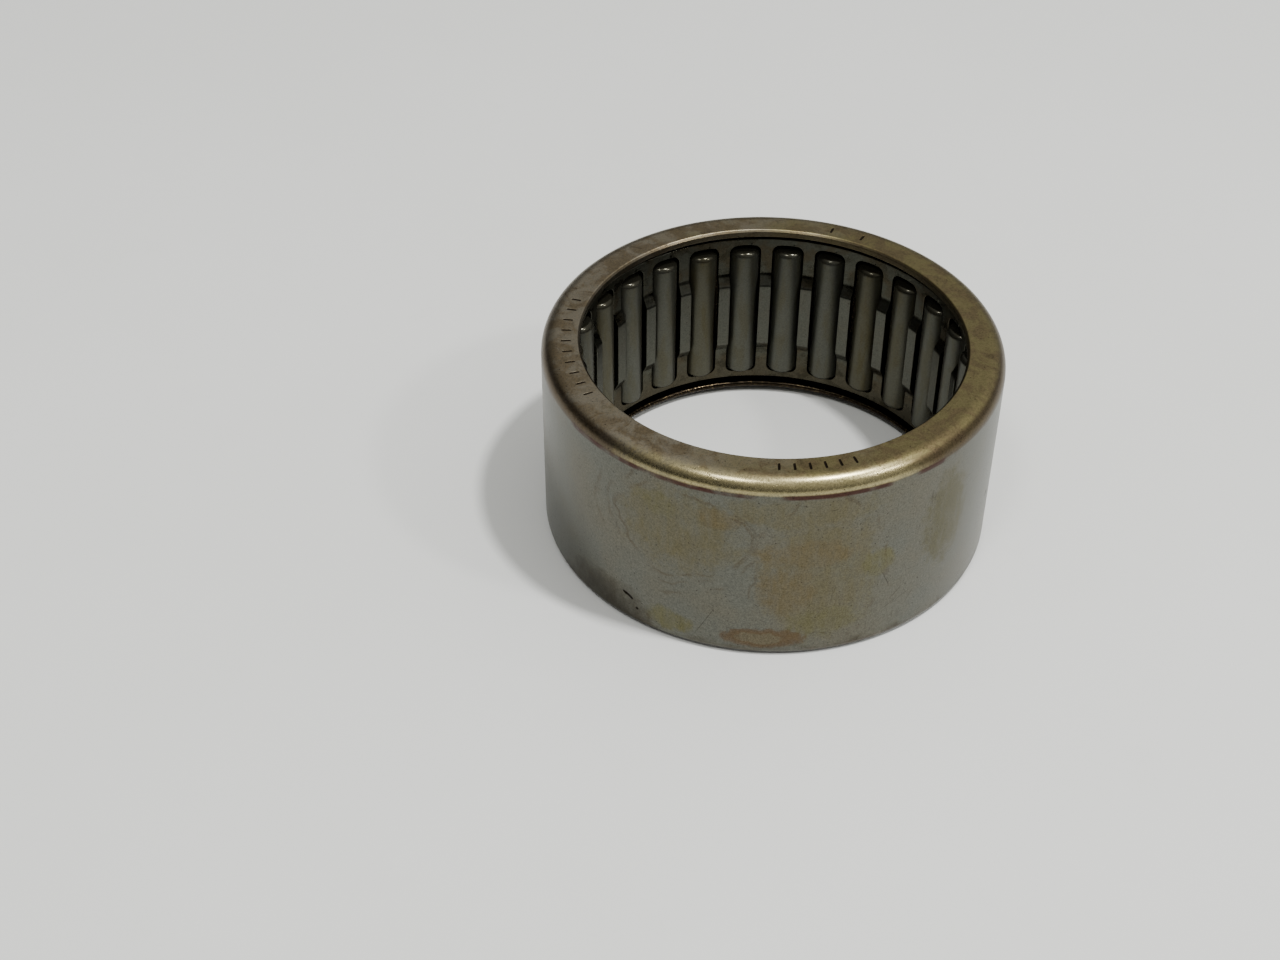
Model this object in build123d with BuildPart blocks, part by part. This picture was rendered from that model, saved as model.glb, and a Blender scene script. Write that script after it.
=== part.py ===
# Caged drawn-cup needle roller bearing, 1.75 in shaft, 2.125 in housing, 1 in wide.
# Millimetres.  The bearing axis is +Z and the curled end of the cup rests on z = 0.
# The stamped lip of the cup is at the top, z = width.

import math
import os

from build123d import *

os.makedirs("parts", exist_ok=True)

# ---------------------------------------------------------------- envelope
shaft_diameter = 44.45          # circle inscribed by the needles, 1.75 in
housing_diameter = 53.975       # outside of the cup, 2.125 in
width = 25.4                    # 1 in
needle_diameter = 3.96875       # 5/32 in
needle_count = 27
running_clearance = 0.02        # needle to raceway, radial

needle_radius = needle_diameter / 2
pitch_radius = shaft_diameter / 2 + needle_radius
raceway_radius = shaft_diameter / 2 + needle_diameter + running_clearance
cup_radius = housing_diameter / 2
needle_pitch = 360 / needle_count

# ---------------------------------------------------------------- cup
top_corner = 1.93               # outer edge of the stamped lip
top_lip = 0.95                  # thickness of the stamped lip
top_inside_corner = 0.95
bore_radius = 22.44             # wall of the stamped lip
bore_chamfer = 0.28

bottom_corner = 0.96            # outer edge of the curled lip
curl_bore = 22.58               # tip of the curled lip
curl_tip_slope = 0.10           # the tip leans this far back at its foot
curl_rise = 0.85                # height of the underside of the tip
curl_thickness = 0.86
curl_tip_rounding = 0.34
curl_flat_inner = 24.75         # the resting ring ends here and the lip rises
curl_bend = 1.20                # bend radius where the lip starts to rise
curl_bend_inner = 25.10         # the same bend on the inside of the cup
curl_root = 0.62                # the curled lip's thickness where it meets the wall
bottom_inside_corner = 0.35

# Stamped ticks on the top lip: first angle, step and how many, degrees from +X
tick_groups = [
    (168.0, 5.0, 10),
    (273.5, 4.0, 6),
    (64.7, 9.5, 2),
]
tick_radius = 24.10             # middle of a tick, on the flat of the lip
tick_length = 1.10
tick_width = 0.30
tick_depth = 0.10

# ---------------------------------------------------------------- cage
cage_sheet = 0.80
cage_centre = 12.95
cage_half_length = 10.70
cage_mid_inner = 22.41          # inside of the proud middle of each bar
cage_end_inner = 23.15          # inside of the rims and bar ends
middle_centre = 12.62           # the proud middle sits a little low in the cage
mid_half_length = 4.42          # straight middle, to the corner of the bend
end_half_length = 5.80          # start of the bar ends, to the corner of the bend
bend_inside = 0.55
bend_outside = bend_inside + cage_sheet
bend_proud = 0.80               # inner side of the two bends beside the middle
rim_rounding = 0.16
bar_width = 1.52
pocket_half_length = 9.80
pocket_corner = 1.00
first_bar_angle = 160.15        # middle of one bar, degrees from +X
first_pocket_angle = first_bar_angle + needle_pitch / 2

# ---------------------------------------------------------------- needles
needle_length = 18.9
needle_crown = 0.22             # height of the domed end over its full radius
needle_corner = 0.66
needle_seat = 0.06              # needle end above the lower end of its pocket
needle_bottom = cage_centre - pocket_half_length + needle_seat
needle_centre = needle_bottom + needle_length / 2

# ================================================================ cup
# Corners of the cup's section with their radii; a radius of 0 stays sharp.
cup_corners = [
    ((curl_flat_inner, 0), curl_bend),
    ((cup_radius, 0), bottom_corner),
    ((cup_radius, width), top_corner),
    ((bore_radius + bore_chamfer, width), 0),
    ((bore_radius, width - bore_chamfer), 0),
    ((bore_radius, width - top_lip), 0),
    ((raceway_radius, width - top_lip), top_inside_corner),
    ((raceway_radius, curl_root), bottom_inside_corner),
    ((curl_bend_inner, curl_thickness), curl_bend),
    ((curl_bore, curl_rise + curl_thickness), curl_tip_rounding),
    ((curl_bore + curl_tip_slope, curl_rise), curl_tip_rounding),
]
with BuildPart() as cup:
    with BuildSketch(Plane.XZ) as cup_section:
        with BuildLine():
            Polyline(*[point for point, radius in cup_corners], close=True)
        make_face()
        for point, radius in cup_corners:
            if radius > 0:
                fillet(cup_section.vertices().sort_by_distance(point)[0], radius)
    revolve(axis=Axis.Z)
    # shallow stamped ticks in the flat of the top lip
    for first_angle, step, how_many in tick_groups:
        with BuildSketch(Plane.XY.offset(width)):
            for n in range(how_many):
                with PolarLocations(tick_radius, 1, start_angle=first_angle + n * step):
                    SlotOverall(tick_length, tick_width)
        extrude(amount=-tick_depth, mode=Mode.SUBTRACT)
cup.part.label = "cup"
export_step(cup.part, "parts/cup.step")

# ================================================================ cage
# The sheet steps inwards between the rims and the middle.  The outer side of each bend
# is shifted along Z so that the sloping web keeps the sheet's thickness.
web_slope = math.atan2(cage_end_inner - cage_mid_inner, end_half_length - mid_half_length)
bend_shift = cage_sheet * math.tan(web_slope / 2)
cage_end_outer = cage_end_inner + cage_sheet
cage_mid_outer = cage_mid_inner + cage_sheet
rim_low = cage_centre - cage_half_length
rim_high = cage_centre + cage_half_length
cage_corners = [
    ((cage_end_inner, rim_low), rim_rounding),
    ((cage_end_inner, middle_centre - end_half_length), bend_outside),
    ((cage_mid_inner, middle_centre - mid_half_length), bend_proud),
    ((cage_mid_inner, middle_centre + mid_half_length), bend_proud),
    ((cage_end_inner, middle_centre + end_half_length), bend_outside),
    ((cage_end_inner, rim_high), rim_rounding),
    ((cage_end_outer, rim_high), rim_rounding),
    ((cage_end_outer, middle_centre + end_half_length - bend_shift), bend_inside),
    ((cage_mid_outer, middle_centre + mid_half_length - bend_shift), bend_outside),
    ((cage_mid_outer, middle_centre - mid_half_length + bend_shift), bend_outside),
    ((cage_end_outer, middle_centre - end_half_length + bend_shift), bend_inside),
    ((cage_end_outer, rim_low), rim_rounding),
]
# A pocket's section widens outwards, so that the bar between two pockets keeps its width.
pocket_inner = 21.0
pocket_outer = 25.5
half_pitch = math.radians(needle_pitch / 2)
half_bar = bar_width / 2 / math.cos(half_pitch)
inner_half = pocket_inner * math.tan(half_pitch) - half_bar
outer_half = pocket_outer * math.tan(half_pitch) - half_bar
with BuildPart() as cage:
    with BuildSketch(Plane.XZ) as cage_section:
        with BuildLine():
            Polyline(*[point for point, radius in cage_corners], close=True)
        make_face()
        for point, radius in cage_corners:
            fillet(cage_section.vertices().sort_by_distance(point)[0], radius)
    revolve(axis=Axis.Z)
    with BuildPart(mode=Mode.PRIVATE) as pocket:
        with BuildSketch(Plane.XY.offset(cage_centre - pocket_half_length)):
            with BuildLine():
                Polyline(
                    (pocket_inner, -inner_half),
                    (pocket_outer, -outer_half),
                    (pocket_outer, outer_half),
                    (pocket_inner, inner_half),
                    close=True,
                )
            make_face()
        extrude(amount=2 * pocket_half_length)
        # the four edges that run outwards become the pocket's rounded corners
        upright = pocket.edges().filter_by(Axis.Z)
        across = pocket.edges().filter_by(Axis.Y)
        fillet(pocket.edges() - upright - across, pocket_corner)
    with PolarLocations(0, needle_count, start_angle=first_pocket_angle):
        add(pocket.part, mode=Mode.SUBTRACT)
cage.part.label = "cage"
export_step(cage.part, "parts/cage.step")

# ================================================================ needles
needle_half = needle_length / 2
shoulder = needle_half - needle_crown
dome_radius = (needle_radius**2 + needle_crown**2) / (2 * needle_crown)
for n in range(needle_count):
    angle = math.radians(first_pocket_angle - n * needle_pitch)
    centre = (pitch_radius * math.cos(angle), pitch_radius * math.sin(angle), needle_centre)
    with BuildPart() as needle:
        with BuildSketch(Plane(centre, x_dir=(1, 0, 0), z_dir=(0, -1, 0))) as half_section:
            with BuildLine():
                Line((0, -needle_half), (0, needle_half))
                RadiusArc((0, needle_half), (needle_radius, shoulder), dome_radius)
                Line((needle_radius, shoulder), (needle_radius, -shoulder))
                RadiusArc((needle_radius, -shoulder), (0, -needle_half), dome_radius)
            make_face()
            for end in (shoulder, -shoulder):
                corner = half_section.vertices().sort_by_distance((needle_radius, end))[0]
                fillet(corner, needle_corner)
        revolve(axis=Axis(centre, (0, 0, 1)))
    name = f"needle_{n + 1:02d}"
    needle.part.label = name
    export_step(needle.part, f"parts/{name}.step")
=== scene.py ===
# A caged drawn-cup needle roller bearing standing on a pale floor.
# Every piece is turned or pressed steel, so each is a mesh made from its section, placed by
# the CAD frame.  Sections and surface marks are in millimetres, Blender's own units metres.
import math

import bmesh
import bpy
from mathutils import Matrix, Vector


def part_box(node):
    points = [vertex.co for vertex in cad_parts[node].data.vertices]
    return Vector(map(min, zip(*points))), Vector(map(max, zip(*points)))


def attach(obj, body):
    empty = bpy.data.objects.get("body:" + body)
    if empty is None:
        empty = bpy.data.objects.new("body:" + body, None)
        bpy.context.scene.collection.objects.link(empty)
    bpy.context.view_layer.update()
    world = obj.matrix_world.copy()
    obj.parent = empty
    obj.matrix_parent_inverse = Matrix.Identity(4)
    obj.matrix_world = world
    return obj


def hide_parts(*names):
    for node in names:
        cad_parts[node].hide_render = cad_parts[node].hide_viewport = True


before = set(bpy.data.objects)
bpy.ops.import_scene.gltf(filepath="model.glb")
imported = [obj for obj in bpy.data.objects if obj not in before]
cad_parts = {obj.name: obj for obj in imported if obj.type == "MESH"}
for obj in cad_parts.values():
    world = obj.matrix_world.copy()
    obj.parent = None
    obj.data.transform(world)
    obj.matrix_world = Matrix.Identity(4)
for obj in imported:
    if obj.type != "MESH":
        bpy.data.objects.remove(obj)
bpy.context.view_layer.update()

MM = 0.001

# ------------------------------------------------------------------ sizes read from the frame
cup_low, cup_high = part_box("cup")
cage_low, cage_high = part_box("cage")
needle_low, needle_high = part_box("needle_01")
CUP_RADIUS = (cup_high.x - cup_low.x) / 2 / MM
WIDTH = (cup_high.z - cup_low.z) / MM
CAGE_OUTER = (cage_high.x - cage_low.x) / 2 / MM
CAGE_LOW = cage_low.z / MM
CAGE_HIGH = cage_high.z / MM
NEEDLE_RADIUS = (needle_high.x - needle_low.x) / 2 / MM
NEEDLE_LENGTH = (needle_high.z - needle_low.z) / MM
NEEDLES = sorted(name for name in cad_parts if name.startswith("needle"))
PITCH_ANGLE = 360 / len(NEEDLES)
RUNNING_CLEARANCE = 0.02        # between a needle and the raceway


def centre_of(node):
    low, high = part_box(node)
    return (Vector(low) + Vector(high)) / 2


first_needle = centre_of(NEEDLES[0])
PATH_RADIUS = math.hypot(first_needle.x, first_needle.y) / MM
FIRST_ANGLE = math.degrees(math.atan2(first_needle.y, first_needle.x))
RACEWAY = PATH_RADIUS + NEEDLE_RADIUS + RUNNING_CLEARANCE

# ------------------------------------------------------------------ section and mesh helpers
ARC_STEP = 9.0                  # degrees of arc between two section points
GUARD = 0.04                    # rows this close to an arc keep flats looking flat
SHORTEST_RUN = 3 * GUARD        # shorter straight runs get no rows of their own
LEAST_STEP = 0.3                # a last step under this share of a full one is left out
TOUCH = 1e-4                    # a point this close to a surface lies on it
TINY = 1e-6


def rounded(corners, arc_step=ARC_STEP):
    """The closed outline through (x, y, radius) corners, as runs of points between arcs."""
    runs = []
    count = len(corners)
    for n in range(count):
        here = Vector(corners[n][:2])
        radius = corners[n][2]
        to_last = (Vector(corners[n - 1][:2]) - here).normalized()
        to_next = (Vector(corners[(n + 1) % count][:2]) - here).normalized()
        if radius == 0:
            runs.append([here])
            continue
        half_angle = to_last.angle(to_next) / 2
        middle = here + (to_last + to_next).normalized() * (radius / math.sin(half_angle))
        reach = radius / math.tan(half_angle)
        start = here + to_last * reach - middle
        turn = start.angle_signed(here + to_next * reach - middle)
        steps = max(2, math.ceil(abs(math.degrees(turn)) / arc_step))
        turns = [Matrix.Rotation(-turn * k / steps, 2) for k in range(steps + 1)]
        runs.append([middle + part_turn @ start for part_turn in turns])
    return runs


def with_rows(runs, longest):
    """All points of an outline, with no step on its straight runs over longest(point)."""
    points = []
    for n, run in enumerate(runs):
        points += run
        start = run[-1]
        end = runs[(n + 1) % len(runs)][0]
        length = (end - start).length
        if length < SHORTEST_RUN:
            continue
        along = (end - start) / length
        at = GUARD
        while at < length - GUARD:
            points.append(start + along * at)
            at += longest(points[-1])
            if length - GUARD - at < LEAST_STEP * longest(points[-1]):
                at = length
        points.append(end - along * GUARD)
    return points


def finish_mesh(name, bm, sharp_angle=50):
    """Turns a bmesh in millimetres into an object with smooth shading and true sharp edges."""
    bmesh.ops.recalc_face_normals(bm, faces=bm.faces)
    bmesh.ops.scale(bm, vec=(MM, MM, MM), verts=bm.verts)
    mesh = bpy.data.meshes.new(name)
    bm.to_mesh(mesh)
    bm.free()
    mesh.shade_smooth()
    mesh.set_sharp_from_angle(angle=math.radians(sharp_angle))
    piece = bpy.data.objects.new(name, mesh)
    bpy.context.scene.collection.objects.link(piece)
    return piece


def lathe(points, angles, shift=None, closed=True):
    """A bmesh turned about Z from (radius, height) points.  shift(r, angle, z) moves a point."""
    bm = bmesh.new()
    rows = []
    for point in points:
        if point.x < TINY:
            rows.append([bm.verts.new((0, 0, point.y))])
            continue
        row = []
        for angle in angles:
            radius, height = point
            if shift:
                radius, height = shift(radius, angle, height)
            turn = math.radians(angle)
            row.append(bm.verts.new((radius * math.cos(turn), radius * math.sin(turn), height)))
        rows.append(row)
    pairs = list(zip(rows, rows[1:]))
    if closed:
        pairs.append((rows[-1], rows[0]))
    count = len(angles)
    for low, high in pairs:
        for n in range(count):
            below = [low[n % len(low)], low[(n + 1) % len(low)]]
            above = [high[(n + 1) % len(high)], high[n % len(high)]]
            corners = list(dict.fromkeys(below + above))
            if len(corners) > 2:
                bm.faces.new(corners)
    return bm


# ------------------------------------------------------------------ cup
TOP_CORNER = 1.93
TOP_LIP = 0.95
TOP_INSIDE_CORNER = 0.95
BORE_RADIUS = 22.44
BORE_CHAMFER = 0.28
BORE_ROUNDING = 0.10
BOTTOM_CORNER = 0.96
CURL_BORE = 22.58
CURL_TIP_SLOPE = 0.10
CURL_RISE = 0.85
CURL_THICKNESS = 0.86
CURL_TIP_ROUNDING = 0.34
CURL_FLAT_INNER = 24.75
CURL_BEND = 1.20
CURL_BEND_INNER = 25.10
CURL_ROOT = 0.62
BOTTOM_INSIDE_CORNER = 0.35
LIP_INNER_ROUNDING = 0.06

# stamped ticks: first angle, step, how many
TICK_GROUPS = [(168.0, 5.0, 10), (273.5, 4.0, 6), (64.7, 9.5, 2)]
TICK_RADIUS = 24.10
TICK_LENGTH = 1.10
TICK_WIDTH = 0.30
TICK_DEPTH = 0.10
TICK_SOFT = 0.10                # how far a tick's wall slopes

# nicks in the outside of the cup: angle, height, half length, half width, lean, depth
NICKS = [
    (236.7, 3.95, 0.92, 0.26, -22, 0.12),
    (239.5, 2.55, 0.22, 0.20, 0, 0.08),
    (56.0, 14.5, 0.85, 0.12, 35, 0.05),
    (131.0, 6.2, 0.45, 0.16, -60, 0.06),
    (344.0, 9.8, 0.55, 0.12, 15, 0.04),
]
NICK_REACH = 1.5                # no nick reaches further round the cup than this
NICK_FLOOR = 0.25               # share of a nick's size that has its full depth

# how close the mesh's rows and columns are: close where a mark needs them
CUP_COLUMN = 1.25               # degrees
TICK_COLUMNS = (0.48, 0.12)     # degrees each side of a tick, and their step
NICK_COLUMNS = (1.92, 0.24)
TICK_END_ROW = 0.06
TICK_END_REACH = 0.16
LIP_ROW = 0.25
NICK_ROW = 0.10
NICK_ROW_REACH = 0.45
WALL_ROW = 0.9
INSIDE_ROW = 2.0


def smooth_step(low, high, value):
    share = min(1.0, max(0.0, (value - low) / (high - low)))
    return share * share * (3 - 2 * share)


def tick_angles():
    return [first + n * step for first, step, count in TICK_GROUPS for n in range(count)]


def difference(angle, other):
    """Signed degrees from one angle to another, the short way round."""
    return (angle - other + 180) % 360 - 180


def arc_between(angle, other, radius):
    """Signed length along a circle from one angle to another."""
    return math.radians(difference(angle, other)) * radius


def cup_shift(radius, angle, height):
    """Presses the ticks into the top lip and the nicks into the outside."""
    if height > WIDTH - TOUCH:
        for tick in tick_angles():
            across = abs(arc_between(angle, tick, radius))
            if across > TICK_WIDTH:
                continue
            beyond = max(0.0, abs(radius - TICK_RADIUS) - (TICK_LENGTH - TICK_WIDTH) / 2)
            off = math.hypot(across, beyond)
            half = TICK_WIDTH / 2
            height -= TICK_DEPTH * (1 - smooth_step(half - TICK_SOFT, half, off))
    if radius > CUP_RADIUS - TOUCH:
        for nick, level, half_length, half_width, lean, depth in NICKS:
            along = arc_between(angle, nick, radius)
            if abs(along) > NICK_REACH:
                continue
            rise = height - level
            turn = math.radians(lean)
            u = (along * math.cos(turn) + rise * math.sin(turn)) / half_length
            v = (rise * math.cos(turn) - along * math.sin(turn)) / half_width
            radius -= depth * (1 - smooth_step(NICK_FLOOR, 1.0, math.hypot(u, v)))
    return radius, height


def spread(base_step, fine):
    """Angles round the circle, base_step apart.  fine lists (angle, half span, closer step)."""
    angles = {round(n * base_step, 3) for n in range(round(360 / base_step))}
    for centre, half_span, step in fine:
        cleared = half_span + base_step * LEAST_STEP
        angles = {angle for angle in angles if abs(difference(angle, centre)) > cleared}
        count = round(half_span / step)
        angles |= {round((centre + n * step) % 360, 3) for n in range(-count, count + 1)}
    return sorted(angles)


def cup_rows(point):
    """How far apart the section's rows are at a point."""
    radius, height = point
    if height > WIDTH - TOUCH:
        from_end = abs(abs(radius - TICK_RADIUS) - TICK_LENGTH / 2)
        return TICK_END_ROW if from_end < TICK_END_REACH else LIP_ROW
    if radius > CUP_RADIUS - TOUCH:
        from_nick = min(abs(height - nick[1]) for nick in NICKS)
        return NICK_ROW if from_nick < NICK_ROW_REACH else WALL_ROW
    return INSIDE_ROW


def make_cup():
    section = rounded([
        (CURL_FLAT_INNER, 0, CURL_BEND),
        (CUP_RADIUS, 0, BOTTOM_CORNER),
        (CUP_RADIUS, WIDTH, TOP_CORNER),
        (BORE_RADIUS + BORE_CHAMFER, WIDTH, BORE_ROUNDING),
        (BORE_RADIUS, WIDTH - BORE_CHAMFER, BORE_ROUNDING),
        (BORE_RADIUS, WIDTH - TOP_LIP, LIP_INNER_ROUNDING),
        (RACEWAY, WIDTH - TOP_LIP, TOP_INSIDE_CORNER),
        (RACEWAY, CURL_ROOT, BOTTOM_INSIDE_CORNER),
        (CURL_BEND_INNER, CURL_THICKNESS, CURL_BEND),
        (CURL_BORE, CURL_RISE + CURL_THICKNESS, CURL_TIP_ROUNDING),
        (CURL_BORE + CURL_TIP_SLOPE, CURL_RISE, CURL_TIP_ROUNDING),
    ])
    fine = [(tick % 360, *TICK_COLUMNS) for tick in tick_angles()]
    fine += [(nick[0], *NICK_COLUMNS) for nick in NICKS]
    angles = spread(CUP_COLUMN, fine)
    cup = finish_mesh("cup_shell", lathe(with_rows(section, cup_rows), angles, cup_shift))
    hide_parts("cup")
    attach(cup, "cup")
    return cup


# ------------------------------------------------------------------ cage
CAGE_SHEET = 0.80
CAGE_MID_INNER = 22.41
CAGE_END_INNER = CAGE_OUTER - CAGE_SHEET
CAGE_CENTRE = (CAGE_LOW + CAGE_HIGH) / 2
CAGE_HALF = (CAGE_HIGH - CAGE_LOW) / 2
MIDDLE_CENTRE = 12.62           # the proud middle sits a little low in the cage
MID_HALF = 4.42
END_HALF = 5.80
MID_STEP = 1.2                  # between the rows of the straight middle
MID_ROWS = 3                    # such rows above its centre, and as many below
BEND_ROWS = 6                   # rows round each bend
BEND_SLACK = 0.01               # degrees, so that rounding can't add a row to a bend
BEND_INSIDE = 0.55
BEND_PROUD = 0.80
BAR_HALF = 0.76
POCKET_HALF = 9.80
POCKET_CORNER = 1.00
EDGE_ROUNDING = 0.09
BAR_COLUMNS = 6                 # quads across half a bar
CORNER_ROWS = 7                 # rows round a pocket's corner
RIM_COLUMNS = 5                 # quads from a pocket's corner to its middle
CORNER_LEAD = 1.0               # a row this far before a pocket's corner
BEVEL_FROM = 55                 # degrees; sharper edges than this are rounded
BEVEL_SEGMENTS = 3


def bent_side(mid_radius, end_radius, mid_reach, end_reach, mid_bend, end_bend):
    """One side of the sheet's two bends above its middle, as two runs of (radius, height)."""
    corners = [
        (mid_radius, 0, 0),
        (mid_radius, mid_reach, mid_bend),
        (end_radius, end_reach, end_bend),
        (end_radius, CAGE_HALF, 0),
    ]
    beyond = [(CAGE_OUTER + CAGE_SHEET, CAGE_HALF, 0), (CAGE_OUTER + CAGE_SHEET, 0, 0)]
    slope = math.degrees(math.atan2(end_radius - mid_radius, end_reach - mid_reach))
    runs = rounded(corners + beyond, arc_step=slope / BEND_ROWS + BEND_SLACK)
    return runs[1] + runs[2]


def cage_profile():
    """Matched (inner radius, inner height, outer radius, outer height) rows, bottom to top.
    Heights are from the cage's middle."""
    slope = math.atan2(CAGE_END_INNER - CAGE_MID_INNER, END_HALF - MID_HALF)
    shift = CAGE_SHEET * math.tan(slope / 2)
    bend_outside = BEND_INSIDE + CAGE_SHEET
    mid_outer = CAGE_MID_INNER + CAGE_SHEET
    inner_reach = (MID_HALF, END_HALF)
    outer_reach = (MID_HALF - shift, END_HALF - shift)
    inner = bent_side(CAGE_MID_INNER, CAGE_END_INNER, *inner_reach, BEND_PROUD, bend_outside)
    outer = bent_side(mid_outer, CAGE_OUTER, *outer_reach, bend_outside, BEND_INSIDE)
    bends = [(i.x, i.y, o.x, o.y) for i, o in zip(inner, outer)]
    low = MIDDLE_CENTRE - CAGE_CENTRE
    straight = [MID_STEP * n for n in range(-MID_ROWS, MID_ROWS + 1)]
    rows = [(a, low - b, c, low - d) for a, b, c, d in reversed(bends)]
    rows += [(CAGE_MID_INNER, low + level, mid_outer, low + level) for level in straight]
    rows += [(a, low + b, c, low + d) for a, b, c, d in bends]
    ends = [POCKET_HALF - POCKET_CORNER - CORNER_LEAD]
    for n in range(CORNER_ROWS + 1):
        turn = math.radians(90 * n / CORNER_ROWS)
        ends.append(POCKET_HALF - POCKET_CORNER + POCKET_CORNER * math.sin(turn))
    ends += [(POCKET_HALF + CAGE_HALF) / 2, CAGE_HALF]
    rows = [(CAGE_END_INNER, -level, CAGE_OUTER, -level) for level in reversed(ends)] + rows
    return rows + [(CAGE_END_INNER, level, CAGE_OUTER, level) for level in ends]


def cage_columns(level):
    """Distances from a bar's middle, at a height, out to the pocket's side or rounded corner."""
    beyond = abs(level) - (POCKET_HALF - POCKET_CORNER)
    edge = BAR_HALF
    if beyond > 0:
        beyond = min(beyond, POCKET_CORNER)
        edge += POCKET_CORNER - math.sqrt(max(0.0, POCKET_CORNER**2 - beyond**2))
    return [edge * n / BAR_COLUMNS for n in range(BAR_COLUMNS + 1)]


def bar_rows(bm, profile, bar_angle, sign):
    """Half a bar and the rims beside it: rows of vertices on the inner and on the outer side."""
    half_turn = math.radians(PITCH_ANGLE / 2)
    inner, outer = [], []
    for inner_radius, inner_level, outer_radius, outer_level in profile:
        for rows, radius, level in ((inner, inner_radius, inner_level), (outer, outer_radius, outer_level)):
            angles = [math.asin(x / radius) for x in cage_columns(level)]
            if abs(level) > POCKET_HALF - TINY:
                edge = angles[-1]
                to_middle = half_turn - edge
                angles += [edge + to_middle * k / RIM_COLUMNS for k in range(1, RIM_COLUMNS + 1)]
            turns = [bar_angle + sign * angle for angle in angles]
            height = CAGE_CENTRE + level
            rows.append([
                bm.verts.new((radius * math.cos(turn), radius * math.sin(turn), height)) for turn in turns
            ])
    return inner, outer


def close_side(bm, rows):
    """The faces of one side, between each row and the next."""
    for low, high in zip(rows, rows[1:]):
        for k in range(min(len(low), len(high)) - 1):
            bm.faces.new((low[k], low[k + 1], high[k + 1], high[k]))


def pocket_wall(bm, levels, inner, outer):
    """The wall of the pocket along the bar and round the pocket's corner."""
    edge = BAR_COLUMNS
    for n in range(len(levels) - 1):
        low, high = levels[n], levels[n + 1]
        touches_pocket = min(abs(low), abs(high)) < POCKET_HALF - TINY
        if touches_pocket and abs(low + high) / 2 < POCKET_HALF:
            bm.faces.new((inner[n][edge], outer[n][edge], outer[n + 1][edge], inner[n + 1][edge]))


def level_walls(bm, levels, inner, outer):
    """The end wall of the pocket, and the two ends of the cage."""
    for level, low, high in zip(levels, inner, outer):
        if abs(abs(level) - POCKET_HALF) < TINY:
            first = BAR_COLUMNS
        elif abs(abs(level) - CAGE_HALF) < TINY:
            first = 0
        else:
            continue
        for k in range(first, len(low) - 1):
            bm.faces.new((low[k], low[k + 1], high[k + 1], high[k]))


def make_cage():
    profile = cage_profile()
    levels = [row[1] for row in profile]
    bm = bmesh.new()
    for n in range(len(NEEDLES)):
        bar_angle = math.radians(FIRST_ANGLE + (n + 0.5) * PITCH_ANGLE)
        for sign in (-1, 1):
            inner, outer = bar_rows(bm, profile, bar_angle, sign)
            close_side(bm, inner)
            close_side(bm, outer)
            pocket_wall(bm, levels, inner, outer)
            level_walls(bm, levels, inner, outer)
    bmesh.ops.remove_doubles(bm, verts=bm.verts, dist=TOUCH)
    cage = finish_mesh("cage_ring", bm, sharp_angle=180)
    bevel = cage.modifiers.new("edge_rounding", "BEVEL")
    bevel.width = EDGE_ROUNDING * MM
    bevel.segments = BEVEL_SEGMENTS
    bevel.limit_method = "ANGLE"
    bevel.angle_limit = math.radians(BEVEL_FROM)
    bevel.use_clamp_overlap = False
    bevel.harden_normals = True
    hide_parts("cage")
    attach(cage, "cage")
    return cage


# ------------------------------------------------------------------ needles
NEEDLE_CROWN = 0.22             # height of the domed end
NEEDLE_CORNER = 0.66
CORNER_STEPS = 14
SIDE_ROWS = (0.0, 3.0, 6.0)     # heights above the middle
SIDE_LEAD = 0.3                 # a row this far before the corner
DOME_SHARES = (0.96, 0.75, 0.5, 0.25, 0.0)
NEEDLE_COLUMN = 5               # degrees
NEEDLE_TURN = 137.5             # degrees from one needle's rest to the next one's


def needle_section():
    """Half outline of a needle from its lower end on the axis to its upper end."""
    dome = (NEEDLE_RADIUS**2 + NEEDLE_CROWN**2) / (2 * NEEDLE_CROWN)
    # the corner arc touches the dome and the side
    arc_x = NEEDLE_RADIUS - NEEDLE_CORNER
    dome_z = NEEDLE_LENGTH / 2 - dome
    arc_z = dome_z + math.sqrt((dome - NEEDLE_CORNER) ** 2 - arc_x**2)
    tilt = math.atan2(arc_z - dome_z, arc_x)
    side = (*SIDE_ROWS, arc_z - SIDE_LEAD, arc_z - GUARD)
    upper = [Vector((NEEDLE_RADIUS, level)) for level in side]
    for n in range(CORNER_STEPS + 1):
        angle = tilt * n / CORNER_STEPS
        x = arc_x + NEEDLE_CORNER * math.cos(angle)
        upper.append(Vector((x, arc_z + NEEDLE_CORNER * math.sin(angle))))
    edge = upper[-1].x
    for share in DOME_SHARES:
        x = edge * share
        upper.append(Vector((x, dome_z + math.sqrt(dome**2 - x**2))))
    lower = [Vector((p.x, -p.y)) for p in reversed(upper[1:])]
    return lower + upper


def make_needles():
    pieces = []
    section = needle_section()
    angles = range(0, 360, NEEDLE_COLUMN)
    for number, node in enumerate(NEEDLES, start=1):
        needle = finish_mesh(f"roller_{number:02d}", lathe(section, angles, closed=False))
        # each needle has come to rest turned its own way round
        spin = Matrix.Rotation(math.radians(number * NEEDLE_TURN), 4, "Z")
        needle.matrix_world = Matrix.Translation(centre_of(node)) @ spin
        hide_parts(node)
        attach(needle, node)
        pieces.append(needle)
    return pieces


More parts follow.
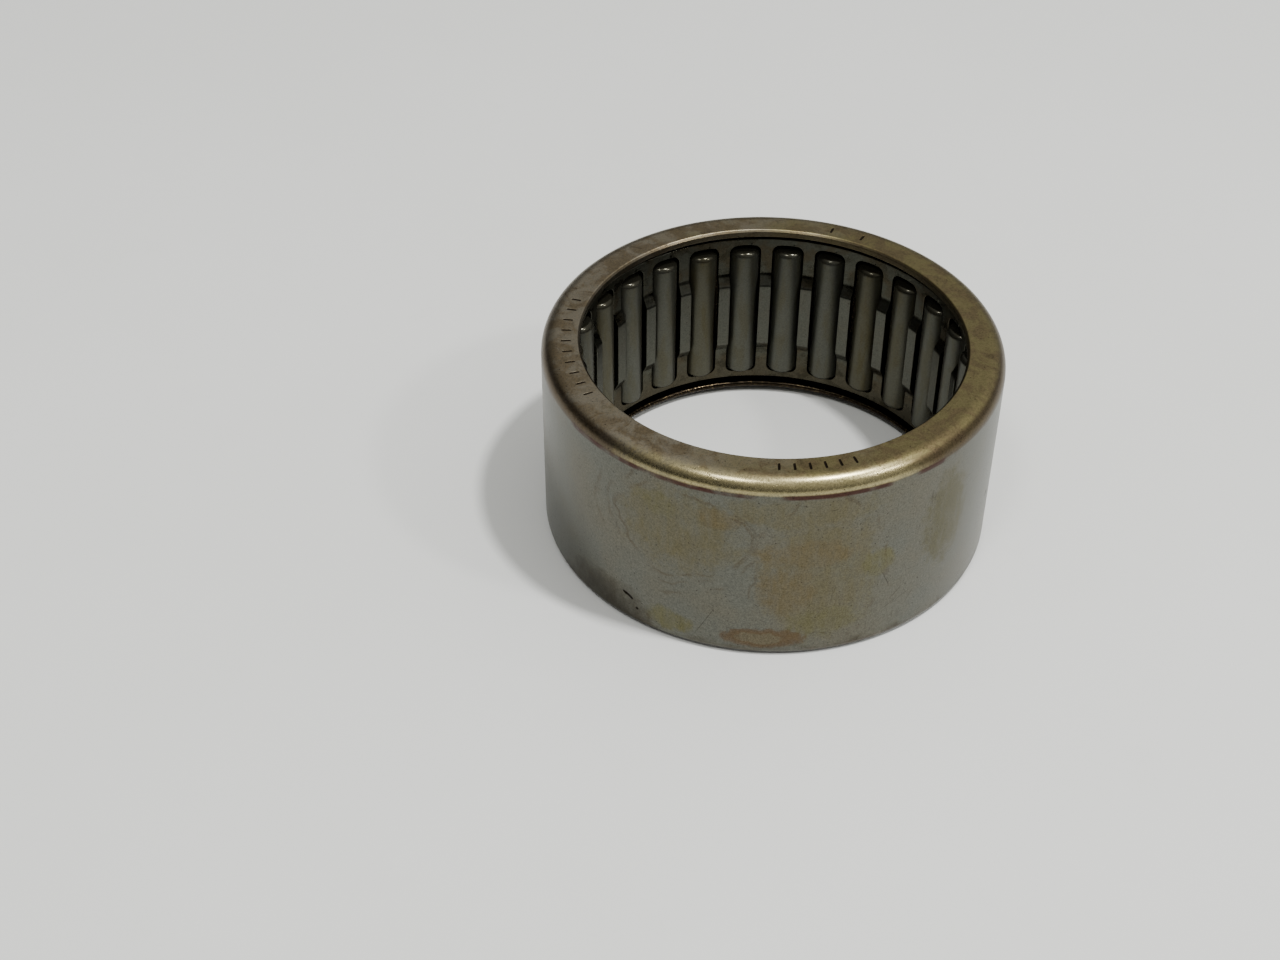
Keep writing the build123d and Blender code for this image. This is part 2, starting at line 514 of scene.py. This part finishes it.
# ------------------------------------------------------------------ materials
class Graph:
    """A metal material and short names for the shader nodes that it is made of."""

    def __init__(self, name, metallic=1, edge=1.0):
        self.material = bpy.data.materials.new(name)
        self.material.use_nodes = True
        self.tree = self.material.node_tree
        self.shader = self.tree.nodes["Principled BSDF"]
        self.shader.inputs["Metallic"].default_value = metallic
        self.shader.inputs["Specular Tint"].default_value = (edge, edge, edge, 1)

    def feed(self, socket, value):
        if isinstance(value, bpy.types.NodeSocket):
            self.tree.links.new(value, socket)
        else:
            socket.default_value = value

    def node(self, kind, inputs, **settings):
        node = self.tree.nodes.new("ShaderNode" + kind)
        for key, value in settings.items():
            setattr(node, key, value)
        for key, value in inputs.items():
            self.feed(node.inputs[key], value)
        return node

    def place(self):
        """The point on the piece, in millimetres in the piece's own frame."""
        metres = self.node("TexCoord", {}).outputs["Object"]
        return self.node("VectorMath", {0: metres, 3: 1 / MM}, operation="SCALE").outputs[0]

    def parts(self, vector):
        return self.node("SeparateXYZ", {0: vector}).outputs

    def radius(self, vector):
        flat = self.node("VectorMath", {0: vector, 1: (1, 1, 0)}, operation="MULTIPLY").outputs[0]
        return self.node("VectorMath", {0: flat}, operation="LENGTH").outputs["Value"]

    def scaled(self, vector, scale, turn=(0, 0, 0)):
        return self.node("Mapping", {"Vector": vector, "Rotation": turn, "Scale": scale}).outputs[0]

    def math(self, operation, a, b=0.0, clamp=False):
        return self.node("Math", {0: a, 1: b}, operation=operation, use_clamp=clamp).outputs[0]

    def noise(self, vector, scale, detail=3.0, roughness=0.55, distortion=0.0):
        inputs = {"Vector": vector, "Scale": scale, "Detail": detail}
        inputs |= {"Roughness": roughness, "Distortion": distortion}
        return self.node("TexNoise", inputs).outputs[0]

    def step(self, value, low, high):
        """0 below low, 1 above high, smooth between.  Falls instead if low is above high."""
        start, end = (0.0, 1.0) if low < high else (1.0, 0.0)
        inputs = {0: value, 1: min(low, high), 2: max(low, high), 3: start, 4: end}
        return self.node("MapRange", inputs, interpolation_type="SMOOTHSTEP").outputs[0]

    def band(self, value, low, high, soft):
        """1 from low to high, falling to 0 over soft on both sides."""
        rise = self.step(value, low - soft, low)
        return self.math("MULTIPLY", rise, self.step(value, high + soft, high))

    def about(self, value, middle, scale):
        """How far a value is from a middle value, scaled."""
        return self.math("MULTIPLY", self.math("SUBTRACT", value, middle), scale)

    def times(self, *values):
        result = values[0]
        for value in values[1:]:
            result = self.math("MULTIPLY", result, value)
        return result

    def mix(self, share, a, b, blend="MIX"):
        node = self.node("Mix", {0: share}, data_type="RGBA", blend_type=blend)
        for socket, colour in ((node.inputs[6], a), (node.inputs[7], b)):
            self.feed(socket, colour if isinstance(colour, bpy.types.NodeSocket) else (*colour, 1))
        return node.outputs[2]

    def pits(self, vector, scale, size):
        """1 in small round spots, 0 elsewhere.  size is a share of the spots' spacing."""
        distance = self.node("TexVoronoi", {"Vector": vector, "Scale": scale}).outputs["Distance"]
        return self.step(distance, size, size * 0.6)

    def scratches(self, vector, scale, turn, amount):
        """Long thin lines: stretched noise near its middle value, broken up by larger noise."""
        lines = self.noise(self.scaled(vector, scale, turn), 1.0, 1.0, 0.4, 0.4)
        off = self.math("ABSOLUTE", self.math("SUBTRACT", lines, 0.5))
        broken = self.step(self.noise(vector, 0.45, 1.0), 0.60 - amount, 0.70 - amount)
        return self.times(self.step(off, 0.010, 0.003), broken)

    def finish(self, colour, roughness, height, depth):
        """Feeds the shader.  depth is the real size of the relief in millimetres."""
        bump = self.node("Bump", {"Height": height, "Distance": depth * MM, "Strength": 1.0})
        self.feed(self.shader.inputs["Base Color"], colour)
        self.feed(self.shader.inputs["Roughness"], roughness)
        self.feed(self.shader.inputs["Normal"], bump.outputs[0])
        return self.material


STEEL = (0.104, 0.105, 0.089)
STEEL_WARM = (0.110, 0.104, 0.081)
STEEL_EDGE = 0.95               # how bright the steel still is at a grazing angle
TAN = (0.104, 0.093, 0.056)
OLIVE = (0.104, 0.097, 0.050)
OLIVE_DARK = (0.080, 0.073, 0.040)
OCHRE = (0.108, 0.083, 0.043)
DARK_BROWN = (0.048, 0.039, 0.026)
TIDE_MARK = (0.060, 0.043, 0.024)
RUST = (0.084, 0.050, 0.025)
LIP_GOLD = (0.206, 0.176, 0.080)
LIP_BROWN = (0.150, 0.112, 0.060)
LIP_GREY = (0.254, 0.226, 0.170)
# painted highlight colour for the corner's front
PAINTED_HIGHLIGHT_GOLD = (0.400, 0.345, 0.180)
# painted shade on the corner's sides
CORNER_PAINTED_SHADE = (0.072, 0.050, 0.030)
# painted reflection: a dark purple line under the corner
PAINTED_REFLECTION_PURPLE = (0.046, 0.018, 0.014)
DARK_OIL_AND_SHADE = (0.016, 0.012, 0.008)

# stains on the outside, and dark brown patches low down that darken the cup towards its foot: angle,
# height, half width, half height, strength, colour
STAINS = [
    (250.5, 16.8, 7.8, 6.1, 0.75, TAN),
    (260.0, 19.6, 3.0, 1.6, 0.45, OCHRE),
    (244.8, 19.8, 2.6, 2.0, 0.45, OLIVE),
    (248.3, 2.9, 3.2, 1.9, 0.80, OLIVE),
    (230.0, 1.6, 8.0, 3.8, 0.60, DARK_BROWN),
    (280.0, 21.2, 10.0, 2.4, 0.65, TAN),
    (285.0, 12.0, 7.4, 10.8, 0.70, TAN),
    (281.5, 15.2, 5.8, 2.2, 0.45, OCHRE),
    (276.6, 10.2, 3.8, 4.0, 0.50, OCHRE),
    (287.0, 4.9, 5.0, 2.4, 0.55, OLIVE),
    (299.5, 12.3, 2.3, 2.2, 0.70, OLIVE),
    (319.5, 14.5, 4.2, 6.8, 0.90, OLIVE_DARK),
    (20.0, 12.0, 7.5, 6.0, 0.60, TAN),
    (24.0, 15.0, 2.6, 1.8, 0.55, OCHRE),
    (75.0, 15.0, 8.0, 7.0, 0.60, TAN),
    (83.0, 8.0, 3.0, 4.5, 0.65, OCHRE),
    (118.0, 7.0, 6.0, 5.5, 0.55, OLIVE),
    (136.0, 1.8, 7.0, 2.8, 0.70, DARK_BROWN),
    (160.0, 15.0, 8.5, 8.0, 0.50, TAN),
    (170.0, 6.0, 2.8, 2.4, 0.60, OCHRE),
    (50.0, 1.4, 6.0, 2.2, 0.65, DARK_BROWN),
]
# thin dried lines, each an oval's outline: angle, height, half width, half height, strength
TIDE_LINES = [
    (250.0, 16.4, 8.1, 6.2, 0.42),
    (249.0, 16.4, 8.9, 7.5, 0.30),
    (248.5, 16.0, 10.3, 8.6, 0.30),
    (285.0, 12.0, 7.7, 11.3, 0.35),
    (75.0, 15.0, 8.6, 7.5, 0.45),
    (118.0, 7.5, 6.8, 6.0, 0.45),
    (160.0, 15.0, 9.0, 8.4, 0.45),
    (20.0, 12.0, 8.2, 6.5, 0.50),
]
# rust: angle, height, half width, half height
RUST_SPOTS = [(271.4, 2.6, 4.4, 1.35), (102.0, 2.4, 3.2, 0.9), (8.0, 3.0, 2.2, 0.9)]
# single scratches: angle, height, half length, lean in degrees, strength
SCRATCHES = [
    (257.7, 4.35, 3.2, 64, 0.75),
    (301.6, 9.4, 2.0, -66, 0.85),
    (305.0, 6.6, 1.3, 40, 0.7),
    (307.5, 5.8, 1.6, 20, 0.7),
    (309.5, 5.2, 1.2, 55, 0.7),
    (303.6, 5.2, 1.4, 28, 0.6),
    (288.0, 9.0, 2.2, 80, 0.45),
    (65.0, 8.0, 4.0, 35, 0.7),
    (145.0, 17.0, 3.0, -50, 0.7),
    (188.0, 13.0, 3.4, 70, 0.6),
    (352.0, 6.0, 3.0, -30, 0.6),
]
SCRATCH_WIDTH = 0.07
STAIN_REACH = 7.0               # how deep into the wall a mark reaches

# heights and radii of the bands of colour on the cup: low, high, softness
LIP_HEIGHTS = (23.4, 24.5)      # the wall's colour turns to the lip's between these
CORNER_BAND = (23.70, 24.85, 0.35)
CORNER_RADII = (25.3, 26.0)
# where the corner's painted highlight lies: heights, radii and side
PAINTED_HIGHLIGHT_BAND = (23.80, 25.10, 0.3)
PAINTED_HIGHLIGHT_RADII = (25.0, 25.7)
PAINTED_HIGHLIGHT_SIDE = (-19.5, -25.0)    # painted highlight on the corner beyond this y
# heights of the painted purple reflection under the corner
PAINTED_REFLECTION_BAND = (23.26, 23.58, 0.28)
GOLD_SIDE = (-16.0, 12.0)       # the lip turns from grey to gold between these x
DRIFT = 60.0                    # how far the change of colour wanders
FOOT_HEIGHTS = (1.6, 0.3)
# painted shade low on the wall, and a painted contact shadow line along the foot
FOOT_SHADE_HEIGHTS = (0.9, 0.2)
CONTACT_SHADOW_HEIGHTS = (0.70, 0.15)
INSIDE_RADII = (26.5, 26.3)
INSIDE_BAND = (0.5, 24.3, 0.2)
# painted shade on the bore's wall and the lower part of its chamfer
BORE_SHADE_RADII = (22.68, 22.62)
BORE_SHADE_BAND = (24.3, 25.30, 0.04)
TICK_DIRT_DEPTHS = (0.003, 0.014)
TICK_FOOT_DEPTHS = (0.40, 0.30)
TICK_DIRT_BAND = (23.45, 24.75, 0.02)
CUP_RELIEF = 0.005              # real depth of the grain, like the next two
CAGE_RELIEF = 0.0045
NEEDLE_RELIEF = 0.0022


def around(g, place, angle, height, half_width, half_height, lean=0.0):
    """0 at a spot on the outside of the cup, 1 on the oval round it, more beyond."""
    turn = math.radians(angle)
    inputs = {
        "Vector": place,
        "Location": (CUP_RADIUS * math.cos(turn), CUP_RADIUS * math.sin(turn), height),
        "Rotation": (math.radians(lean), 0, turn),
        "Scale": (STAIN_REACH, half_width, half_height),
    }
    local = g.node("Mapping", inputs, vector_type="TEXTURE").outputs[0]
    return g.node("VectorMath", {0: local}, operation="LENGTH").outputs["Value"]


def stained(g, place, colour, patches, streaks):
    """The wall's steel with its stains, dark brown patches low down, dried lines and rust."""
    ragged = g.about(g.noise(place, 0.50, 5, 0.65), 0.5, 1.15)
    bent = g.about(g.noise(place, 0.16, 3), 0.5, 0.60)
    thinned = g.math("ADD", g.times(patches, 1.3), g.times(streaks, 1.2))
    thinned = g.math("SUBTRACT", thinned, 0.55, clamp=True)
    for *oval, strength, stain in STAINS:
        distance = g.math("ADD", around(g, place, *oval), ragged)
        share = g.times(g.step(distance, 1.08, 0.62), thinned, strength * 1.35)
        colour = g.mix(share, colour, stain)
    broken = g.step(g.noise(place, 0.30, 3), 0.44, 0.62)
    lines = 0.0
    for *oval, strength in TIDE_LINES:
        distance = g.math("ADD", around(g, place, *oval), bent)
        lines = g.math("MAXIMUM", lines, g.times(g.band(distance, 0.985, 1.005, 0.028), strength))
    colour = g.mix(g.times(lines, broken), colour, TIDE_MARK)
    for oval in RUST_SPOTS:
        distance = g.math("ADD", around(g, place, *oval), ragged)
        colour = g.mix(g.times(g.step(distance, 1.1, 0.7), 0.60), colour, OCHRE)
        colour = g.mix(g.times(g.band(distance, 0.75, 1.0, 0.22), 0.55), colour, RUST)
    return colour


def lip_colour_and_painted_corner_light(g, place, height, colour, patches, grain):
    """The top lip and its corner: grey to gold, painted shade in brown on the corner's sides, a painted
    highlight in gold on its front and a painted purple reflection under it.
    Returns the colour, and where the corner's painted highlight lies."""
    radius = g.radius(place)
    side, front = g.parts(place)[:2]
    drift = g.about(g.noise(place, 0.14, 3), 0.5, DRIFT)
    lip = g.mix(g.step(g.math("ADD", side, drift), *GOLD_SIDE), LIP_GREY, LIP_GOLD)
    lip = g.mix(g.times(g.step(patches, 0.42, 0.60), 0.75), lip, LIP_BROWN)
    lip = g.mix(g.times(g.step(grain, 0.50, 0.68), 0.5), lip, LIP_BROWN)
    wavy_height = g.math("ADD", height, g.about(patches, 0.5, 1.6))
    colour = g.mix(g.step(wavy_height, *LIP_HEIGHTS), colour, lip)
    corner = g.times(g.band(height, *CORNER_BAND), g.step(radius, *CORNER_RADII))
    # painted highlight: the corner's front gets a brighter gold, broken up in patches
    highlight_side = g.step(g.math("ADD", front, g.times(drift, 0.12)), *PAINTED_HIGHLIGHT_SIDE)
    corner_painted_highlight = g.times(g.band(height, *PAINTED_HIGHLIGHT_BAND), g.step(radius, *PAINTED_HIGHLIGHT_RADII), highlight_side)
    highlight_breakup = g.step(g.math("ADD", g.times(grain, 0.4), g.times(patches, 0.6)), 0.25, 0.60)
    # painted shade: the corner's sides away from the front are darkened
    colour = g.mix(g.times(corner, g.step(highlight_side, 1.0, 0.0), 0.75), colour, CORNER_PAINTED_SHADE)
    colour = g.mix(g.times(corner_painted_highlight, highlight_breakup, 0.85), colour, PAINTED_HIGHLIGHT_GOLD)
    # painted reflection: a broken dark purple line just under the corner
    painted_reflection = g.times(g.band(height, *PAINTED_REFLECTION_BAND), g.step(g.noise(place, 0.17, 3), 0.42, 0.58))
    return g.mix(g.times(painted_reflection, 0.9), colour, PAINTED_REFLECTION_PURPLE), corner_painted_highlight


def pressed_dirt(g, place, height, radius):
    """1 in the ticks of the lip and in the nicks of the wall."""
    dirt = g.times(
        g.step(height, *(WIDTH - depth for depth in TICK_DIRT_DEPTHS)),
        g.step(height, *(WIDTH - depth for depth in TICK_FOOT_DEPTHS)),
        g.band(radius, *TICK_DIRT_BAND),
    )
    for angle, level, half_length, half_width, lean, depth in NICKS:
        distance = around(g, place, angle, level, half_length, half_width, lean)
        dirt = g.math("MAXIMUM", dirt, g.step(distance, 1.0, 0.8))
    return dirt


def wear_lines(g, place):
    """Single scratches and fine handling marks."""
    level_lines = g.scratches(place, (0.15, 0.15, 2.6), (0.3, 0.5, 0.0), 0.06)
    upright_lines = g.scratches(place, (2.4, 2.4, 0.12), (0.35, -0.2, 0.4), 0.04)
    lines = g.math("MAXIMUM", g.times(level_lines, 0.5), g.times(upright_lines, 0.5))
    shaky = g.times(g.math("SUBTRACT", g.noise(place, 1.3, 2), 0.5), 0.25)
    moved = g.node("VectorMath", {0: place, 1: shaky}, operation="ADD").outputs[0]
    for angle, height, half_length, lean, strength in SCRATCHES:
        distance = around(g, moved, angle, height, half_length, SCRATCH_WIDTH, lean)
        lines = g.math("MAXIMUM", lines, g.times(g.step(distance, 1.0, 0.5), strength))
    return lines


def cup_steel():
    g = Graph("cup_steel_worn", edge=STEEL_EDGE)
    place = g.place()
    height = g.parts(place)[2]
    radius = g.radius(place)
    cloud = g.noise(place, 0.10, 4, 0.6)
    patches = g.noise(place, 0.33, 5, 0.65, 0.6)
    streaks = g.noise(g.scaled(place, (1.1, 1.1, 0.25)), 1.0, 3, 0.6)
    grain = g.noise(place, 4.2, 3, 0.75)
    fine = g.noise(place, 11.0, 2, 0.6)

    colour = g.mix(g.step(cloud, 0.38, 0.66), STEEL, STEEL_WARM)
    colour = stained(g, place, colour, patches, streaks)
    # darker and browner towards the floor in patches, with painted shade at the very foot and a painted
    # contact shadow line along it
    wavy_height = g.math("ADD", height, g.about(patches, 0.5, 5.0))
    foot_patches_and_shade = g.times(g.step(wavy_height, *FOOT_HEIGHTS), g.step(cloud, 0.30, 0.52))
    painted_foot_shade = g.step(height, *FOOT_SHADE_HEIGHTS)
    foot_patches_and_shade = g.math("MAXIMUM", g.times(foot_patches_and_shade, 0.7), g.times(painted_foot_shade, 0.6))
    colour = g.mix(foot_patches_and_shade, colour, DARK_BROWN)
    colour = g.mix(g.times(g.step(height, *CONTACT_SHADOW_HEIGHTS), 0.85), colour, DARK_OIL_AND_SHADE)
    colour, corner_painted_highlight = lip_colour_and_painted_corner_light(g, place, height, colour, patches, grain)
    inside = g.times(g.step(radius, *INSIDE_RADII), g.band(height, *INSIDE_BAND))
    # painted shade: the bore's wall and most of its chamfer are darkened, leaving a thin bright edge
    painted_bore_shade = g.times(g.step(radius, *BORE_SHADE_RADII), g.band(height, *BORE_SHADE_BAND))
    colour = g.mix(g.times(painted_bore_shade, 0.75), colour, DARK_BROWN)
    oil = g.mix(g.step(grain, 0.52, 0.75), DARK_OIL_AND_SHADE, LIP_BROWN)
    colour = g.mix(inside, colour, oil)

    # salt and pepper grain, pits, scratches, and dirt in the pressed marks
    pepper = g.math("ADD", g.times(grain, 0.85), g.times(fine, 0.55))
    shade = g.math("ADD", g.about(pepper, 0.70, 1.9), 1.0)
    # the grain is weaker under the corner's painted highlight
    colour = g.mix(g.math("SUBTRACT", 0.85, g.times(corner_painted_highlight, 0.45)), colour, shade, "MULTIPLY")
    small_pits = g.times(g.pits(place, 2.4, 0.16), g.step(patches, 0.44, 0.56))
    pits = g.math("MAXIMUM", g.pits(place, 1.1, 0.12), small_pits)
    pits = g.times(pits, g.step(g.noise(place, 0.5, 2), 0.38, 0.52))
    lines = wear_lines(g, place)
    dirt = pressed_dirt(g, place, height, radius)
    colour = g.mix(g.times(pits, 0.65), colour, DARK_OIL_AND_SHADE)
    colour = g.mix(g.times(lines, 0.6), colour, DARK_OIL_AND_SHADE)
    colour = g.mix(dirt, colour, DARK_OIL_AND_SHADE)

    roughness = g.math("ADD", g.about(grain, 0.5, 0.25), 0.34)
    roughness = g.math("SUBTRACT", roughness, g.times(corner_painted_highlight, 0.09))
    roughness = g.math("SUBTRACT", roughness, g.times(inside, 0.10))
    roughness = g.math("ADD", roughness, g.times(dirt, 0.4))
    relief = g.math("ADD", g.times(grain, 0.55), g.times(fine, 0.45))
    relief = g.math("SUBTRACT", relief, g.times(pits, 1.5))
    relief = g.math("SUBTRACT", relief, g.times(lines, 0.9))
    relief = g.math("ADD", relief, g.times(inside, g.noise(place, 1.6, 2), 6.0))
    return g.finish(colour, roughness, relief, CUP_RELIEF)


CAGE_GREY = (0.062, 0.063, 0.050)
CAGE_BROWN = (0.058, 0.050, 0.033)
# painted light on the bars' proud middle, and painted shade with oil, also used at the needles' ends
CAGE_PAINTED_LIGHT = (0.082, 0.083, 0.069)
CAGE_OIL_AND_SHADE = (0.022, 0.020, 0.013)
CAGE_EDGE = 0.6
CAGE_FOOT_HEIGHTS = (7.5, 3.5)
PROUD_RADII = (22.62, 22.44)    # the bars' proud middle is inside these
# painted shade with oil lies beyond these radii
SHADE_POOL_RADII = (22.5, 22.9)


def cage_steel():
    g = Graph("cage_steel_worn", edge=CAGE_EDGE)
    place = g.place()
    height = g.parts(place)[2]
    radius = g.radius(place)
    cloud = g.noise(place, 0.35, 3, 0.6)
    grain = g.noise(place, 5.0, 3, 0.7)
    rolled = g.noise(g.scaled(place, (0.5, 0.5, 7.0)), 1.0, 3, 0.6)
    colour = g.mix(g.step(cloud, 0.42, 0.66), CAGE_GREY, CAGE_BROWN)
    colour = g.mix(g.times(g.step(height, *CAGE_FOOT_HEIGHTS), 0.75), colour, CAGE_BROWN)
    # painted light on the proud middle of the bars, and painted shade with pooled oil in patches behind it
    painted_light_on_proud = g.step(radius, *PROUD_RADII)
    colour = g.mix(g.times(painted_light_on_proud, g.math("ADD", g.times(rolled, 0.6), 0.45)), colour, CAGE_PAINTED_LIGHT)
    shade_patches = g.step(g.noise(place, 0.55, 3), 0.50, 0.66)
    pooled_oil_and_shade = g.times(shade_patches, g.step(radius, *SHADE_POOL_RADII), 0.6)
    colour = g.mix(pooled_oil_and_shade, colour, CAGE_OIL_AND_SHADE)
    shade = g.math("ADD", g.about(grain, 0.5, 1.5), 1.0)
    colour = g.mix(0.8, colour, shade, "MULTIPLY")
    colour = g.mix(g.times(g.pits(place, 1.4, 0.12), 0.6), colour, DARK_OIL_AND_SHADE)
    roughness = g.math("ADD", g.about(rolled, 0.5, 0.25), 0.32)
    roughness = g.math("SUBTRACT", roughness, g.times(pooled_oil_and_shade, 0.15))
    relief = g.math("ADD", g.times(rolled, 0.6), g.times(grain, 0.6))
    return g.finish(colour, roughness, relief, CAGE_RELIEF)


NEEDLE_GREY = (0.076, 0.077, 0.062)
NEEDLE_OLIVE = (0.066, 0.059, 0.032)
NEEDLE_METALLIC = 0.75          # an oil film over the steel
NEEDLE_EDGE = 0.6
NEEDLE_DRIFT = (40.0, 25.0)     # how far apart two needles' patterns are, in x and z
# painted shade at the needles' ends
PAINTED_END_SHADE = (0.80, 0.25)         # a needle darkens over this distance from its end


def needle_steel():
    g = Graph("needle_steel_worn", metallic=NEEDLE_METALLIC, edge=NEEDLE_EDGE)
    place = g.place()
    own = g.node("ObjectInfo", {}).outputs["Random"]
    across, along = NEEDLE_DRIFT
    drift = g.node("CombineXYZ", {0: g.times(own, across), 2: g.times(own, along)}).outputs[0]
    moved = g.node("VectorMath", {0: place, 1: drift}, operation="ADD").outputs[0]
    cloud = g.noise(g.scaled(moved, (1, 1, 0.3)), 0.7, 3, 0.6)
    ground = g.noise(g.scaled(place, (0.4, 0.4, 9.0)), 1.0, 3, 0.7)
    grain = g.noise(moved, 5.0, 3, 0.7)
    clouded = g.times(g.step(cloud, 0.40, 0.68), 0.5)
    browned = g.times(g.step(own, 0.3, 0.9), 0.6)
    colour = g.mix(g.math("ADD", clouded, browned, clamp=True), NEEDLE_GREY, NEEDLE_OLIVE)
    shade = g.math("ADD", g.about(grain, 0.5, 1.1), 1.0)
    colour = g.mix(0.8, colour, shade, "MULTIPLY")
    colour = g.mix(g.times(g.pits(moved, 1.5, 0.10), 0.5), colour, DARK_OIL_AND_SHADE)
    # painted shade: each needle darkens towards its domed ends, which are also glossier
    from_middle = g.math("ABSOLUTE", g.parts(place)[2])
    ends = g.step(from_middle, *(NEEDLE_LENGTH / 2 - reach for reach in PAINTED_END_SHADE))
    colour = g.mix(g.times(ends, 0.75), colour, CAGE_OIL_AND_SHADE)
    roughness = g.math("ADD", g.about(ground, 0.5, 0.18), 0.34)
    roughness = g.math("SUBTRACT", roughness, g.times(ends, 0.14))
    relief = g.math("ADD", ground, g.times(grain, 0.5))
    return g.finish(colour, roughness, relief, NEEDLE_RELIEF)


FLOOR_SHADED = (0.775, 0.783, 0.752)
FLOOR_LIGHT = (0.800, 0.806, 0.782)
FLOOR_SMUDGE = (0.74, 0.748, 0.72)
FLOOR_RELIEF = 0.02


def pale_floor():
    g = Graph("pale_floor", metallic=0)
    place = g.place()
    cloud = g.noise(place, 0.012, 4, 0.6)
    smudge = g.noise(place, 0.09, 4, 0.65)
    colour = g.mix(g.step(cloud, 0.3, 0.7), FLOOR_SHADED, FLOOR_LIGHT)
    colour = g.mix(g.times(g.step(smudge, 0.55, 0.75), 0.25), colour, FLOOR_SMUDGE)
    roughness = g.math("ADD", g.times(smudge, 0.15), 0.42)
    return g.finish(colour, roughness, smudge, FLOOR_RELIEF)


# ------------------------------------------------------------------ stage
FLOOR_SIZE = 8.0                # metres, like the camera's and the lamps' places

SENSOR_WIDTH = 36
LENS = 54.31
CAMERA_PLACE = (0, -0.18363, 0.15595)
CAMERA_HEADING = 4.794          # degrees to the left of +Y
CAMERA_DOWN = 39.825
CAMERA_ROLL = 0.3575
NEAREST = 0.01

# round lamps: name, degrees from +X, degrees above the floor, distance, size, power
LAMPS = [
    ("key", -20, 71, 0.80, 0.06, 4.9),
    ("second", -22, 46, 0.90, 0.08, 1.9),
    ("third", -112, 63, 0.85, 0.14, 1.6),
]

BRIGHT_SIDE = (0.36, 0.0, 0.933)
# grey of the room against how far a direction is toward its bright side: the two ends first
ROOM_SHADE = [(0.0, 0.08), (1.0, 0.92), (0.30, 0.25), (0.62, 0.62)]
ROOM_TINT = 0.97                # how much blue the grey keeps


def make_floor():
    bpy.ops.mesh.primitive_plane_add(size=FLOOR_SIZE, location=(0, 0, 0))
    floor = bpy.context.object
    floor.name = "floor"
    floor.data.materials.append(pale_floor())


def make_camera():
    camera = bpy.data.objects.new("camera", bpy.data.cameras.new("camera"))
    bpy.context.scene.collection.objects.link(camera)
    camera.data.sensor_width = SENSOR_WIDTH
    camera.data.lens = LENS
    camera.data.clip_start = NEAREST
    turn = Matrix.Rotation(math.radians(CAMERA_HEADING), 4, "Z")
    turn = turn @ Matrix.Rotation(math.radians(90 - CAMERA_DOWN), 4, "X")
    turn = turn @ Matrix.Rotation(math.radians(CAMERA_ROLL), 4, "Z")
    camera.matrix_world = Matrix.Translation(Vector(CAMERA_PLACE)) @ turn
    bpy.context.scene.camera = camera


def make_lamp(name, azimuth, elevation, distance, size, power):
    """A round lamp in a direction seen from the bearing, turned toward it."""
    light = bpy.data.lights.new(name, "AREA")
    light.shape = "DISK"
    light.size = size
    light.energy = power
    lamp = bpy.data.objects.new(name, light)
    bpy.context.scene.collection.objects.link(lamp)
    turn, rise = math.radians(azimuth), math.radians(elevation)
    level = math.cos(rise)
    place = Vector((level * math.cos(turn), level * math.sin(turn), math.sin(rise))) * distance
    facing = (-place).to_track_quat("-Z", "Y").to_matrix().to_4x4()
    lamp.matrix_world = Matrix.Translation(place) @ facing


def make_room():
    """A plain room: dark near the horizon, bright overhead and a little to the right."""
    world = bpy.data.worlds.new("room")
    bpy.context.scene.world = world
    world.use_nodes = True
    tree = world.node_tree
    background = tree.nodes["Background"]
    direction = tree.nodes.new("ShaderNodeTexCoord").outputs["Generated"]
    toward = tree.nodes.new("ShaderNodeVectorMath")
    toward.operation = "DOT_PRODUCT"
    tree.links.new(direction, toward.inputs[0])
    toward.inputs[1].default_value = BRIGHT_SIDE
    shade = tree.nodes.new("ShaderNodeValToRGB")
    tree.links.new(toward.outputs["Value"], shade.inputs[0])
    stops = shade.color_ramp.elements
    for n, (position, grey) in enumerate(ROOM_SHADE):
        stop = stops[n] if n < 2 else stops.new(position)
        stop.position = position
        stop.color = (grey, grey, grey * ROOM_TINT, 1)
    tree.links.new(shade.outputs[0], background.inputs["Color"])
    background.inputs["Strength"].default_value = 1.0


cup = make_cup()
cup.data.materials.append(cup_steel())
cage = make_cage()
cage.data.materials.append(cage_steel())
needle_material = needle_steel()
for needle in make_needles():
    needle.data.materials.append(needle_material)
make_floor()
make_camera()
make_room()
for lamp in LAMPS:
    make_lamp(*lamp)

bpy.context.view_layer.update()
